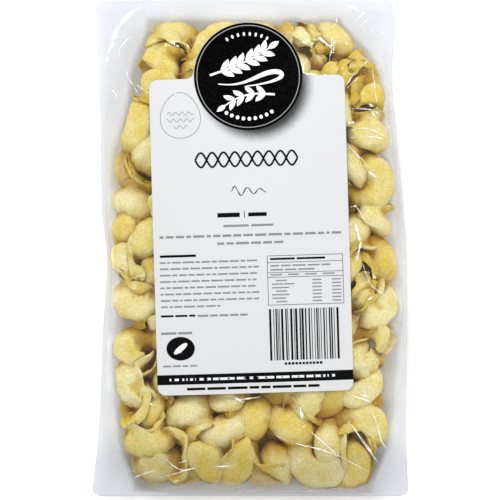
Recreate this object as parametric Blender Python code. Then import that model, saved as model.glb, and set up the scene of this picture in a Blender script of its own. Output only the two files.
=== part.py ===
"""A clear pouch of fresh tortellini with a paper label, lying on its back.

The pouch is one closed solid: its front and back film are drawn tight over the heap of
tortellini inside, and meet in a thin sealed margin all round. The label is a thin sheet
that lies on the front film. Lengths are in millimetres until a mesh is written in metres.
The origin is on the surface that the pouch lies on, under the middle of its outline.
"""

import math

import bmesh
import bpy
import numpy as np
from mathutils import Vector

METRES = 0.001

# Pouch outline, as x of the left and right edge at heights y, from bottom to top
POUCH_TOP = 124.5
POUCH_BOTTOM = -124.5
LEFT_EDGE = (
    (-124.5, -79.4), (-91, -75.6), (-46, -74), (-20, -72.4),
    (-8, -70.8), (18, -74.6), (64, -75), (124.5, -77.6),
)
RIGHT_EDGE = (
    (-124.5, 79.4), (-91, 78), (-30, 79), (0, 78.6),
    (60, 73.4), (84, 70.8), (116, 73), (124.5, 71.6),
)
EDGE_EASING = (-8, -4, 0, 4, 8)
CORNER_RADIUS = 4.0
SEAL_WIDTH = 6.0
SEAM_HEIGHT = 8.0
SEAM_WAVE = {"rise": 0.9, "along": 17.0, "across": 23.0}
MARGIN_THICKNESS = 0.8

# Room for the tortellini inside the film, as x limits at heights y, and the ends
CONTENTS_LEFT = (
    (-121, -56), (-100, -64.5), (-60, -68.5), (5, -70.5),
    (49, -68.5), (66, -61), (94, -58), (108, -50),
)
CONTENTS_RIGHT = (
    (-121, 58), (-108, 65), (-90, 71), (-30, 75),
    (30, 73), (84, 67), (100, 59), (113, 42),
)
CONTENTS_TOP = 114.0
CONTENTS_BOTTOM = -121.0

# The heap is a pillow: thick in the middle, one tortellino thick at its rim
HEAP_HALF_WIDTH = 73.0
HEAP_HALF_LENGTH = 121.0
HEAP_CENTRE_Y = -3.0
HEAP_ROUNDNESS = 3.0
HEAP_RIM = 17.0
HEAP_MIDDLE = 36.5
HEAP_FALL = 0.8
FILM = 0.4
FILM_PULL = 0.25
FLAT_SPOT = 0.8

# One tortellino: a filled half-moon of dough bent into a ring, with its sealed edge as a brim
RING_RADIUS = 7.9
BELLY_RADIUS = 6.9
END_RADIUS = 2.4
BRIM_HEIGHT = 6.0
BRIM_RADIUS = 2.4
BRIM_REACH = 9.4
TURN = 172.0
RING_SPAN = 0.92
BRIM_SPAN = 0.45
TAPER = 2.2

# Label: a rounded rectangle with a round lobe at its top edge
LABEL_WIDTH = 97.6
LABEL_LENGTH = 157.6
LABEL_CENTRE = (0.6, 6.5)
LABEL_TURN = 1.7
LABEL_CORNER = 4.0
LABEL_THICKNESS = 0.4
LABEL_GAP = 0.35
LABEL_EASE = 2.0
LABEL_CEILING = 7.0
LOBE_RADIUS = 27.2
LOBE_CENTRE = (0.8, 79.2)
FILLET_RADIUS = 4.0

# Tortellini that show round the label: x, y, the side that faces up, and the turn in degrees
SHOWN_PIECES = (
    (-48, 99, "front", -60), (-47, 82, "brim", 60), (-22, 98, "belly", 100), (26, 100, "front", 120),
    (46, 99, "side", 10), (58, 86, "rear", 45), (58, 65, "front", 95), (60, 48, "front", 70),
    (53, 35, "side", 60), (63, 32, "belly", 180), (58, 13, "front", 95), (52, -2, "rear", 200),
    (66, -14, "belly", 170), (55, -25, "front", 120), (60, -44, "front", 60), (68, -66, "side", 90),
    (52, -64, "front", -50), (57, -84, "front", 215), (44, -104, "front", 30), (62, -100, "side", 40),
    (28, -81, "belly", 200), (17, -100, "front", 200), (0, -88, "rear", 110), (-4, -109, "front", 200),
    (24, -114, "side", 0), (-25, -80, "front", 250), (-28, -96, "front", 255), (-30, -113, "belly", 10),
    (-52, -78, "front", 135), (-61, -92, "belly", 80), (-53, -109, "front", 150), (-57, 49, "brim", 130),
    (-62, 17, "belly", 100), (-52, 28, "side", 0), (-60, -12, "front", 10), (-53, -27, "belly", 85),
    (-63, -42, "rear", 75), (-55, -58, "front", 110), (-63, 1, "side", 60),
)
SIDES = {
    "belly": (0, -1, 0), "joint": (0, 1, 0), "brim": (0, 0, 1), "base": (0, 0, -1), "side": (1, 0, 0),
    "front": (0, -0.8, 0.6), "rear": (0, 0.7, 0.714),
}

# How the heap is laid before it is pushed apart: how deep the middle of a shown piece lies under
# the film, and the size, pitch and level of the layer under the label and of the one along the back
SEED = 7
SHOWN_DEPTH = 9.0
UNDER_LAYER = {"half": (38, 66), "pitch": 34.0, "depth": 10.0}
BACK_LAYER = {"half": (60, 108), "pitch": 27.0, "height": 8.0}
JITTER = 1.5
SHOWN_TILT = 0.25
HIDDEN_TILT = 0.3
PACK_STEPS = 260
PUSH_SHARE = 0.35
SPIN_SHARE = 0.8
PACKED_BALLS = (7, 2)
DRAPED_BALLS = (13, 5)

# Meshes
POUCH_COLUMNS = 36
POUCH_ROWS = 56
TIGHTENING_STEPS = 240
EASING_STEPS = 2
CURVE_STEPS = 8
LABEL_CUT = 7.5
SHARP_ANGLE = 50.0


def smooth_edge(points, y):
    """x of an outline edge at each height y, with its corners eased."""
    heights, xs = zip(*points)
    return sum(np.interp(y + shift, heights, xs) for shift in EDGE_EASING) / len(EDGE_EASING)


def heap_height(x, y):
    """Height of the pillow that holds the heap, and that the label lies on."""
    across = np.abs(np.asarray(x, float) / HEAP_HALF_WIDTH) ** HEAP_ROUNDNESS
    along = np.abs((np.asarray(y, float) - HEAP_CENTRE_Y) / HEAP_HALF_LENGTH) ** HEAP_ROUNDNESS
    share = np.clip((across + along) ** (1 / HEAP_ROUNDNESS), 0, 1)
    return HEAP_RIM + (HEAP_MIDDLE - HEAP_RIM) * (1 - share**2) ** HEAP_FALL


def tortellino_balls(ring_count, brim_count):
    """Centres and radii of the balls that fill one tortellino: belly to -Y, joint to +Y, brim to +Z."""
    balls = []
    for share in np.linspace(-RING_SPAN, RING_SPAN, ring_count):
        angle = math.radians(-90 + share * TURN)
        radius = END_RADIUS + (BELLY_RADIUS - END_RADIUS) * (1 - abs(share) ** TAPER)
        balls.append((RING_RADIUS * math.cos(angle), RING_RADIUS * math.sin(angle), 0, radius))
    for share in np.linspace(-BRIM_SPAN, BRIM_SPAN, brim_count):
        angle = math.radians(-90 + share * TURN)
        rise = BELLY_RADIUS + BRIM_HEIGHT * (1 - share**2) - BRIM_RADIUS
        balls.append((BRIM_REACH * math.cos(angle), BRIM_REACH * math.sin(angle), rise, BRIM_RADIUS))
    table = np.array(balls)
    return table[:, :3], table[:, 3]


def turn_of(facing, degrees, tilt):
    """Rotation matrix that shows one side of a tortellino upwards, turned in the plane and tilted."""
    up = np.array(SIDES[facing], float)
    ahead = np.array((0, -1, 0) if facing in ("brim", "base") else (0, 0, 1), float)
    ahead -= up * (up @ ahead)
    ahead /= np.linalg.norm(ahead)
    local = np.stack([ahead, np.cross(up, ahead), up])
    cosine, sine = math.cos(math.radians(degrees)), math.sin(math.radians(degrees))
    in_plane = np.array([(cosine, -sine, 0), (sine, cosine, 0), (0, 0, 1)])
    return rotation_by(tilt) @ in_plane @ local


def rotation_by(vector):
    """Rotation matrix for a rotation vector in radians."""
    angle = float(np.linalg.norm(vector))
    if angle < 1e-9:
        return np.eye(3)
    x, y, z = np.asarray(vector) / angle
    cross = np.array([(0, -z, y), (z, 0, -x), (-y, x, 0)])
    return np.eye(3) + math.sin(angle) * cross + (1 - math.cos(angle)) * cross @ cross


def first_places():
    """Starting places and rotations: the tortellini that show, then the two hidden layers."""
    draw = np.random.default_rng(SEED)
    faces = ("belly", "joint", "brim", "base", "side")
    places, turns = [], []
    for x, y, facing, degrees in SHOWN_PIECES:
        places.append((x, y, float(heap_height(x, y)) - SHOWN_DEPTH))
        turns.append(turn_of(facing, degrees, draw.normal(0, SHOWN_TILT, 3)))
    for layer in (UNDER_LAYER, BACK_LAYER):
        half_x, half_y = layer["half"]
        rows = int(2 * half_y / layer["pitch"]) + 1
        for row, y in enumerate(np.linspace(-half_y, half_y, rows)):
            columns = int(2 * half_x / layer["pitch"]) + (row % 2)
            for x in np.linspace(-half_x, half_x, columns + 1):
                spot = (x + draw.normal(0, JITTER), y + draw.normal(0, JITTER))
                height = layer.get("height") or float(heap_height(*spot)) - layer["depth"]
                places.append((*spot, height))
                facing, degrees = faces[draw.integers(len(faces))], draw.uniform(0, 360)
                turns.append(turn_of(facing, degrees, draw.normal(0, HIDDEN_TILT, 3)))
    return np.array(places), np.array(turns)


def pack_heap():
    """Pushes the tortellini apart inside the pouch until they only touch. Gives places and rotations."""
    places, turns = first_places()
    centres, radii = tortellino_balls(*PACKED_BALLS)
    count, each = len(places), len(radii)
    owner = np.repeat(np.arange(count), each)
    all_radii = np.tile(radii, count)
    reach = all_radii[:, None] + all_radii[None, :]
    strangers = owner[:, None] != owner[None, :]
    spin_weight = (centres**2).sum()
    for _ in range(PACK_STEPS):
        arms = np.einsum("nij,kj->nki", turns, centres)
        balls = (places[:, None] + arms).reshape(-1, 3)
        push = contact_push(balls, reach, strangers) + wall_push(balls, all_radii)
        by_piece = push.reshape(count, each, 3)
        places = places + PUSH_SHARE * by_piece.sum(1)
        spins = SPIN_SHARE * np.cross(arms, by_piece).sum(1) / spin_weight
        turns = np.array([rotation_by(spin) @ turn for spin, turn in zip(spins, turns)])
    return places, turns


def contact_push(balls, reach, strangers):
    """How far each ball moves away from the balls of other tortellini that it overlaps."""
    squares = (balls**2).sum(1)
    distance = np.sqrt(np.clip(squares[:, None] + squares - 2 * balls @ balls.T, 1e-6, None))
    weight = 0.5 * np.where(strangers, np.clip(reach - distance, 0, None), 0) / distance
    return balls * weight.sum(1)[:, None] - weight @ balls


def wall_push(balls, radii):
    """How far each ball moves back from the film and from the surface under the pouch."""
    x, y, z = balls.T
    push = np.zeros_like(balls)
    push[:, 0] = np.clip(smooth_edge(CONTENTS_LEFT, y) + radii - x, 0, None)
    push[:, 0] -= np.clip(x + radii - smooth_edge(CONTENTS_RIGHT, y), 0, None)
    push[:, 1] = np.clip(CONTENTS_BOTTOM + radii - y, 0, None) - np.clip(y + radii - CONTENTS_TOP, 0, None)
    push[:, 2] = np.clip(FILM + radii - z, 0, None) - np.clip(z + radii - heap_height(x, y) + FILM, 0, None)
    return push


def heap_surfaces(x, y):
    """Heights of the heap's top and underside at each point, out of reach where nothing lies."""
    places, turns = pack_heap()
    centres, radii = tortellino_balls(*DRAPED_BALLS)
    balls = (places[:, None] + np.einsum("nij,kj->nki", turns, centres)).reshape(-1, 3)
    top, under = np.full(x.shape, -np.inf), np.full(x.shape, np.inf)
    for (ball_x, ball_y, ball_z), radius in zip(balls, np.tile(radii, len(places))):
        level = radius**2 - (x - ball_x) ** 2 - (y - ball_y) ** 2
        reached = level > 0
        half = np.sqrt(level[reached])
        top[reached] = np.maximum(top[reached], ball_z + half)
        under[reached] = np.minimum(under[reached], ball_z - half)
    return top, under


def on_label(x, y, grow=0.0):
    """True where a point lies under the label, or within grow of it."""
    across, along = to_label(x, y)
    half_width, half_length = LABEL_WIDTH / 2 + grow, LABEL_LENGTH / 2 + grow
    lobe = np.hypot(across - LOBE_CENTRE[0], along - LOBE_CENTRE[1]) < LOBE_RADIUS + grow
    return (np.abs(across) < half_width) & (np.abs(along) < half_length) | lobe


def to_label(x, y):
    """A point's place on the label, measured from the middle of its rectangle."""
    angle = math.radians(LABEL_TURN)
    right, up = x - LABEL_CENTRE[0], y - LABEL_CENTRE[1]
    return right * math.cos(angle) + up * math.sin(angle), up * math.cos(angle) - right * math.sin(angle)


def from_label(across, along):
    """The place in the pouch's frame of a point on the label."""
    angle = math.radians(LABEL_TURN)
    return (
        LABEL_CENTRE[0] + across * math.cos(angle) - along * math.sin(angle),
        LABEL_CENTRE[1] + across * math.sin(angle) + along * math.cos(angle),
    )


def pouch_grid():
    """x and y of the pouch's grid points, spread between its wavy edges, with the corners rounded off."""
    rows, columns = np.linspace(0, 1, POUCH_ROWS + 1), np.linspace(0, 1, POUCH_COLUMNS + 1)
    down, over = np.meshgrid(rows, columns, indexing="ij")
    y = POUCH_BOTTOM + (POUCH_TOP - POUCH_BOTTOM) * down
    near_end = np.clip(CORNER_RADIUS - np.minimum(y - POUCH_BOTTOM, POUCH_TOP - y), 0, CORNER_RADIUS)
    inset = CORNER_RADIUS - np.sqrt(CORNER_RADIUS**2 - near_end**2)
    left = smooth_edge(LEFT_EDGE, y) + inset
    right = smooth_edge(RIGHT_EDGE, y) - inset
    return left + (right - left) * over, y


def neighbour_mean(height):
    """Each inner grid point's mean of its four neighbours."""
    mean = height.copy()
    mean[1:-1, 1:-1] = (height[:-2, 1:-1] + height[2:, 1:-1] + height[1:-1, :-2] + height[1:-1, 2:]) / 4
    return mean


def tightened(start, held, low, high, pull):
    """Film heights drawn tight between low and high and pulled towards the food, then eased."""
    height = start
    for _ in range(TIGHTENING_STEPS):
        height = np.where(held, start, np.clip(neighbour_mean(height) + pull, low, high))
    for _ in range(EASING_STEPS):
        height = np.where(held, start, np.minimum((height + neighbour_mean(height)) / 2, high))
    return height


def film_heights(x, y):
    """Heights of the front and the back film over the whole pouch."""
    edge = np.minimum.reduce([
        x - smooth_edge(LEFT_EDGE, y), smooth_edge(RIGHT_EDGE, y) - x, y - POUCH_BOTTOM, POUCH_TOP - y,
    ])
    wave = np.sin(y / SEAM_WAVE["along"]) * np.cos(x / SEAM_WAVE["across"])
    seam = SEAM_HEIGHT + SEAM_WAVE["rise"] * wave
    sealed = edge < SEAL_WIDTH
    labelled = on_label(x, y, LABEL_EASE)
    ceiling = np.where(on_label(x, y, LABEL_CEILING), heap_height(x, y), np.inf)
    top, under = heap_surfaces(x, y)
    half = MARGIN_THICKNESS / 2
    front_start = np.where(labelled, heap_height(x, y), seam + half)
    low, high = np.maximum(top + FILM, seam + half), np.minimum(under - FILM, seam - half)
    front = tightened(front_start, sealed | labelled, low, ceiling, -FILM_PULL)
    back = tightened(seam - half, sealed, -np.inf, high, FILM_PULL)
    return front, np.where(sealed, back, np.clip(back - FLAT_SPOT, 0, None))


def material(name, colour, roughness):
    """A plain shader for one sub-part."""
    made = bpy.data.materials.new(name)
    made.use_nodes = True
    shader = made.node_tree.nodes["Principled BSDF"]
    shader.inputs["Base Color"].default_value = (*colour, 1)
    shader.inputs["Roughness"].default_value = roughness
    shader.inputs["Metallic"].default_value = 0.0
    made.diffuse_color = (*colour, 1)
    return made


def add_object(name, mesh, shader):
    """Links a mesh to the scene as one named, smooth shaded object."""
    mesh.materials.append(shader)
    mesh.shade_smooth()
    mesh.set_sharp_from_angle(angle=math.radians(SHARP_ANGLE))
    made = bpy.data.objects.new(name, mesh)
    bpy.context.scene.collection.objects.link(made)
    return made


def build_pouch():
    """The filled pouch: a flat slab of two grids whose faces are lifted to the front and the back film."""
    x, y = pouch_grid()
    front, back = film_heights(x, y)
    shape = bmesh.new()
    bmesh.ops.create_grid(shape, x_segments=POUCH_COLUMNS, y_segments=POUCH_ROWS, size=0.5)
    points = list(shape.verts)
    cells = [(round((p.co.y + 0.5) * POUCH_ROWS), round((p.co.x + 0.5) * POUCH_COLUMNS)) for p in points]
    lifted = bmesh.ops.extrude_face_region(shape, geom=shape.faces[:])
    raised = [item for item in lifted["geom"] if isinstance(item, bmesh.types.BMVert)]
    for point in raised:
        cell = round((point.co.y + 0.5) * POUCH_ROWS), round((point.co.x + 0.5) * POUCH_COLUMNS)
        point.co = Vector((x[cell], y[cell], front[cell])) * METRES
    for point, cell in zip(points, cells):
        point.co = Vector((x[cell], y[cell], back[cell])) * METRES
    bmesh.ops.recalc_face_normals(shape, faces=shape.faces[:])
    bmesh.ops.triangulate(shape, faces=shape.faces[:])
    mesh = bpy.data.meshes.new("pouch")
    shape.to_mesh(mesh)
    shape.free()
    return add_object("pouch", mesh, material("pasta under clear film", (0.79, 0.62, 0.27), 0.35))


def arc(centre, radius, start, end, steps=CURVE_STEPS):
    """Points along an arc, with its angles in degrees."""
    return [
        (centre[0] + radius * math.cos(angle), centre[1] + radius * math.sin(angle))
        for angle in np.radians(np.linspace(start, end, steps + 1))
    ]


def label_outline():
    """The die-cut outline: a rounded rectangle whose top edge flows through two fillets into a lobe."""
    half_width, half_length = LABEL_WIDTH / 2, LABEL_LENGTH / 2
    corner_x, corner_y = half_width - LABEL_CORNER, half_length - LABEL_CORNER
    lobe_x, lobe_y = LOBE_CENTRE
    fillet_y = half_length + FILLET_RADIUS
    fillet_x = math.sqrt((LOBE_RADIUS + FILLET_RADIUS) ** 2 - (fillet_y - lobe_y) ** 2)
    touch = math.degrees(math.atan2(fillet_y - lobe_y, fillet_x))
    return [
        *arc((-corner_x, -corner_y), LABEL_CORNER, 180, 270),
        *arc((corner_x, -corner_y), LABEL_CORNER, 270, 360),
        *arc((corner_x, corner_y), LABEL_CORNER, 0, 90),
        *arc((lobe_x + fillet_x, fillet_y), FILLET_RADIUS, 270, 180 + touch),
        *arc(LOBE_CENTRE, LOBE_RADIUS, touch, 180 - touch, 4 * CURVE_STEPS)[1:-1],
        *arc((lobe_x - fillet_x, fillet_y), FILLET_RADIUS, -touch, -90),
        *arc((-corner_x, corner_y), LABEL_CORNER, 90, 180),
    ]


def build_label():
    """The label: its outline filled, cut into bands, lifted onto the front film and given its thickness."""
    shape = bmesh.new()
    outline = [shape.verts.new((*point, 0)) for point in label_outline()]
    shape.faces.new(outline)
    half_width, half_length = LABEL_WIDTH / 2, LABEL_LENGTH / 2
    top = LOBE_CENTRE[1] + LOBE_RADIUS
    cuts = [((x, 0, 0), (1, 0, 0)) for x in np.arange(-half_width + LABEL_CUT, half_width, LABEL_CUT)]
    cuts += [((0, y, 0), (0, 1, 0)) for y in np.arange(-half_length + LABEL_CUT, top, LABEL_CUT)]
    for place, normal in cuts:
        geometry = shape.verts[:] + shape.edges[:] + shape.faces[:]
        bmesh.ops.bisect_plane(shape, geom=geometry, plane_co=place, plane_no=normal, dist=1e-5)
    bmesh.ops.triangulate(shape, faces=shape.faces[:])
    under = shape.verts[:]
    lifted = bmesh.ops.extrude_face_region(shape, geom=shape.faces[:])
    over = [item for item in lifted["geom"] if isinstance(item, bmesh.types.BMVert)]
    for points, rise in ((under, LABEL_GAP), (over, LABEL_GAP + LABEL_THICKNESS)):
        for point in points:
            x, y = from_label(point.co.x, point.co.y)
            point.co = Vector((x, y, float(heap_height(x, y)) + rise)) * METRES
    bmesh.ops.recalc_face_normals(shape, faces=shape.faces[:])
    mesh = bpy.data.meshes.new("label")
    shape.to_mesh(mesh)
    shape.free()
    return add_object("label", mesh, material("label paper", (0.85, 0.86, 0.87), 0.45))


def main():
    for old in list(bpy.data.objects):
        bpy.data.objects.remove(old)
    build_pouch()
    build_label()


main()
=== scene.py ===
import math

import bmesh
import bpy
import numpy as np
from mathutils import Matrix, Vector, noise


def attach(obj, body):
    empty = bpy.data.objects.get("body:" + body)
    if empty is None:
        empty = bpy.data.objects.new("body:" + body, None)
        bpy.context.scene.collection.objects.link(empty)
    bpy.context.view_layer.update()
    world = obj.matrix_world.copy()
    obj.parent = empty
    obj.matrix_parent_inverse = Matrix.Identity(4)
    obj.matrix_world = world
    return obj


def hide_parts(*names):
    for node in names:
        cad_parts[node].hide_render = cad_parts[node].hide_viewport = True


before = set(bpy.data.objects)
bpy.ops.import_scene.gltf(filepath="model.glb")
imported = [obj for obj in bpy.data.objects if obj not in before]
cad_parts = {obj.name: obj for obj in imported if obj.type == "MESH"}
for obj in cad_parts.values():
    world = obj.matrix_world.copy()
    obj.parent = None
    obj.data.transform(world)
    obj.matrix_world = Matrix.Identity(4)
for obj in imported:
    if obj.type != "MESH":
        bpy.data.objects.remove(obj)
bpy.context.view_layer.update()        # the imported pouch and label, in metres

# Lengths are in millimetres until they go into a mesh. +Y is the top of the label, +Z is up.
mm = 0.001

# Helpers
def addObject(name, data):
    made = bpy.data.objects.new(name, data)
    bpy.context.scene.collection.objects.link(made)
    return made


def meshOf(shape, name):
    mesh = bpy.data.meshes.new(name)
    shape.to_mesh(mesh)
    shape.free()
    return mesh


def storeValues(mesh, **tables):    # one number for each point, which a material reads by its name
    for name, values in tables.items():
        mesh.attributes.new(name, "FLOAT", "POINT").data.foreach_set("value", np.array(values, np.float32))


# Camera
camera = {"height": 3000.0, "filmPlane": 20.0, "shownWidth": 250.0, "sensor": 36.0, "centre": (0.0, -1.0)}


def addCamera():
    distance = camera["height"] - camera["filmPlane"]
    data = bpy.data.cameras.new("camera")
    data.sensor_width = camera["sensor"]
    data.lens = camera["sensor"] * distance / camera["shownWidth"]
    made = addObject("camera", data)
    made.location = Vector((*camera["centre"], camera["height"])) * mm    # straight above
    bpy.context.scene.camera = made


# The pillow that the heap fills, and that the front film and the label lie on
pillow = {
    "halfWidth": 73.0, "halfLength": 121.0, "centreY": -3.0, "roundness": 3.0,
    "rim": 17.0, "middle": 36.5, "fall": 0.8,
}

# Outline of the pouch: x of its left and right edge at heights y, from bottom to top
pouch = {
    "top": 124.5, "bottom": -124.5, "corner": 4.0, "seam": 8.0, "seamWave": 0.9,
    "left": (
        (-124.5, -79.4), (-91, -75.6), (-46, -74), (-20, -72.4),
        (-8, -70.8), (18, -74.6), (64, -75), (124.5, -77.6),
    ),
    "right": (
        (-124.5, 79.4), (-91, 78), (-30, 79), (0, 78.6),
        (60, 73.4), (84, 70.8), (116, 73), (124.5, 71.6),
    ),
}

# Room for the tortellini inside the film
room = {
    "top": 114.0, "bottom": -121.0, "film": 0.4,
    "left": (
        (-121, -56), (-100, -64.5), (-60, -68.5), (5, -70.5),
        (49, -68.5), (66, -61), (94, -58), (108, -50),
    ),
    "right": (
        (-121, 58), (-108, 65), (-90, 71), (-30, 75),
        (30, 73), (84, 67), (100, 59), (113, 42),
    ),
    # how far down the lowest tortellini reach at each x
    "lowest": (
        (-64, -112), (-62, -115.5), (-59, -119), (-55, -121), (-51, -120.2), (-47, -118.4), (-43, -118.6),
        (-36, -119.8), (-30, -119), (-25, -117.8), (-19, -118.5), (-12, -119.8), (-5, -119), (-1.5, -117.6),
        (3, -119.2), (9, -120.6), (12, -119), (17, -119.6), (22, -118.6), (28, -120), (36, -121), (54, -121),
        (59, -120), (62, -115),
    ),
}


def edgeAt(points, y):
    heights, xs = zip(*points)
    return sum(np.interp(y + shift, heights, xs) for shift in (-8, -4, 0, 4, 8)) / 5


def pillowHeight(x, y):
    across = np.abs(np.asarray(x, float) / pillow["halfWidth"]) ** pillow["roundness"]
    along = np.abs((np.asarray(y, float) - pillow["centreY"]) / pillow["halfLength"]) ** pillow["roundness"]
    share = np.clip((across + along) ** (1 / pillow["roundness"]), 0, 1)
    return pillow["rim"] + (pillow["middle"] - pillow["rim"]) * (1 - share**2) ** pillow["fall"]


def smoothStep(low, high, value):
    share = np.clip((value - low) / (high - low), 0, 1)
    return share * share * (3 - 2 * share)


# Materials
def srgb(code):
    channels = [int(code[i:i + 2], 16) / 255 for i in (1, 3, 5)]
    return (*((c / 12.92 if c <= 0.04045 else ((c + 0.055) / 1.055) ** 2.4) for c in channels), 1.0)


def addNode(tree, kind, values=None, output=0):
    # Names in small letters are the node's settings, the others are its sockets
    node = tree.nodes.new("ShaderNode" + kind)
    for name, value in (values or {}).items():
        if isinstance(name, str) and name.islower():
            setattr(node, name, value)
        elif isinstance(value, bpy.types.NodeSocket):
            tree.links.new(value, node.inputs[name])
        else:
            node.inputs[name].default_value = value
    return node.outputs[output] if node.outputs else node


def newMaterial(name):
    material = bpy.data.materials.new(name)
    material.use_nodes = True
    material.node_tree.nodes.clear()
    return material, material.node_tree, addNode(material.node_tree, "TexCoord", output="Object")


def perMetre(millimetres):    # noise scale that gives features of about this size
    return 1000.0 / millimetres


def freshEggPasta():
    # Fresh egg pasta: rolled semolina dough, pale cream to golden at random, faintly translucent, matt with a
    # fine grain. Painted shade: golden in its folds and golden-brown deep in the heap, for the light that
    # bounces between the pieces.
    material, tree, place = newMaterial("fresh egg pasta, rolled and filled")
    tone, hollow, depth = (
        addNode(tree, "Attribute", {"attribute_name": name}, "Fac") for name in ("tone", "hollow", "depth")
    )
    patches = addNode(tree, "TexNoise", {
        "Vector": place, "Scale": perMetre(8), "Detail": 3.0, "Roughness": 0.55,
    })
    # Semolina is 0.3 mm, drawn at up to 1 mm so that it shows
    grain = addNode(tree, "TexNoise", {
        "Vector": place, "Scale": perMetre(1), "Detail": 3.0, "Roughness": 0.8,
    })
    mixed = addNode(tree, "Math", {"operation": "MULTIPLY_ADD", 0: tone, 1: 0.4, 2: patches})
    share = addNode(tree, "MapRange", {"Value": mixed, "From Min": 0.42, "From Max": 0.95})
    skin = addNode(tree, "Mix", {
        "data_type": "RGBA", "Factor": share, 6: srgb("#F5ECB5"), 7: srgb("#EAD05E"),
    }, 2)
    # painted shade: the folds of the dough turn golden
    folded = addNode(tree, "Mix", {"data_type": "RGBA", "Factor": hollow, 6: skin, 7: srgb("#DCB62C")}, 2)
    # painted shade: dough deep in the heap turns golden-brown
    heapShade = addNode(tree, "MapRange", {
        "interpolation_type": "SMOOTHSTEP", "Value": depth, "From Min": 0.2, "From Max": 0.95, "To Max": 0.85,
    })
    body = addNode(tree, "Mix", {"data_type": "RGBA", "Factor": heapShade, 6: folded, 7: srgb("#C79B12")}, 2)
    speck = addNode(tree, "MapRange", {
        "Value": grain, "From Min": 0.35, "From Max": 0.65, "To Min": 0.8, "To Max": 1.13,
    })
    colour = addNode(tree, "VectorMath", {"operation": "SCALE", 0: body, "Scale": speck})
    lumps = addNode(tree, "TexNoise", {"Vector": place, "Scale": perMetre(3), "Detail": 2.0})
    soft = addNode(tree, "Bump", {"Strength": 0.35, "Distance": 0.0006, "Height": lumps})
    bump = addNode(tree, "Bump", {"Strength": 0.35, "Distance": 0.00025, "Height": grain, "Normal": soft})
    surface = addNode(tree, "BsdfPrincipled", {
        "Base Color": colour, "Roughness": 0.6, "IOR": 1.36, "Normal": bump,
        "Subsurface Weight": 0.2, "Subsurface Radius": (0.003, 0.0018, 0.0006), "Subsurface Scale": 1.0,
    })
    addNode(tree, "OutputMaterial", {"Surface": surface})
    return material


def clearFilm():
    # Clear laminated film: cast and heat sealed. Nearly colourless, glossy, finely rippled, with a little
    # grey haze that is thicker in the sealed margin and where the film is seen edge on.
    material, tree, place = newMaterial("clear laminated film, heat sealed")
    margin, weld, loose = (
        addNode(tree, "Attribute", {"attribute_name": name}, "Fac") for name in ("margin", "weld", "loose")
    )
    cloud = addNode(tree, "TexNoise", {"Vector": place, "Scale": perMetre(22), "Detail": 3.0})
    milk = addNode(tree, "MapRange", {
        "Value": cloud, "From Min": 0.35, "From Max": 0.75, "To Min": 0.004, "To Max": 0.014,
    })
    milk = addNode(tree, "Math", {"operation": "MULTIPLY_ADD", 0: margin, 1: 0.3, 2: milk})
    steep = addNode(tree, "LayerWeight", {"Blend": 0.5}, "Facing")
    veil = addNode(tree, "MapRange", {"Value": steep, "From Min": 0.45, "From Max": 0.98, "To Max": 0.3})
    haze = addNode(tree, "Math", {"operation": "MULTIPLY_ADD", 0: veil, 1: loose, 2: milk})
    ripple = addNode(tree, "TexNoise", {
        "Vector": place, "Scale": perMetre(5), "Detail": 2.0, "Distortion": 1.5,
    })
    bump = addNode(tree, "Bump", {"Strength": 0.4, "Distance": 0.0005, "Height": ripple})
    # Painted shade: the film passes less light towards the bottom end, and at both sealed ends, there partly
    # for the doubled film of the seal
    tint = addNode(tree, "Mix", {
        "data_type": "RGBA", "Factor": weld, 6: srgb("#F0F0F0"), 7: srgb("#E0E0E1"),
    }, 2)
    through = addNode(tree, "BsdfTransparent", {"Color": tint})
    skin = addNode(tree, "BsdfDiffuse", {"Color": srgb("#EDF2FA")})
    hazy = addNode(tree, "MixShader", {0: haze, 1: through, 2: skin})
    shine = addNode(tree, "BsdfGlossy", {"Roughness": 0.06, "Color": srgb("#FFFFFF"), "Normal": bump})
    # Crumpled film never mirrors what is inside it, even where it is seen edge on
    mirror = addNode(tree, "Fresnel", {"IOR": 1.48, "Normal": bump})
    mirror = addNode(tree, "Math", {"operation": "MINIMUM", 0: mirror, 1: 0.18})
    both = addNode(tree, "MixShader", {0: mirror, 1: hazy, 2: shine})
    addNode(tree, "OutputMaterial", {"Surface": both})
    return material


def foldHighlightFilm():
    # The same film along its sharp folds, clear beside them. Painted highlight: each fold is white along its
    # ridge, with a faint glow, for light gleaming off the fold.
    material, tree, place = newMaterial("film folds with painted white highlights")
    fold = addNode(tree, "Attribute", {"attribute_name": "fold"}, "Fac")
    highlightBreakup = addNode(tree, "TexNoise", {
        "Vector": place, "Scale": perMetre(2.2), "Detail": 3.0, "Roughness": 0.7,
    })
    broken = addNode(tree, "MapRange", {
        "Value": highlightBreakup, "From Min": 0.34, "From Max": 0.56, "To Min": 0.15, "To Max": 1.15,
    })
    white = addNode(tree, "Math", {"operation": "MULTIPLY", "use_clamp": True, 0: fold, 1: broken})
    through = addNode(tree, "BsdfTransparent")
    # painted highlight: white, with a faint glow of its own
    skin = addNode(tree, "BsdfPrincipled", {
        "Base Color": srgb("#FCFCFB"), "Roughness": 0.4,
        "Emission Color": srgb("#FFFFFF"), "Emission Strength": 0.12,
    })
    both = addNode(tree, "MixShader", {0: white, 1: through, 2: skin})
    addNode(tree, "OutputMaterial", {"Surface": both})
    return material


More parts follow.
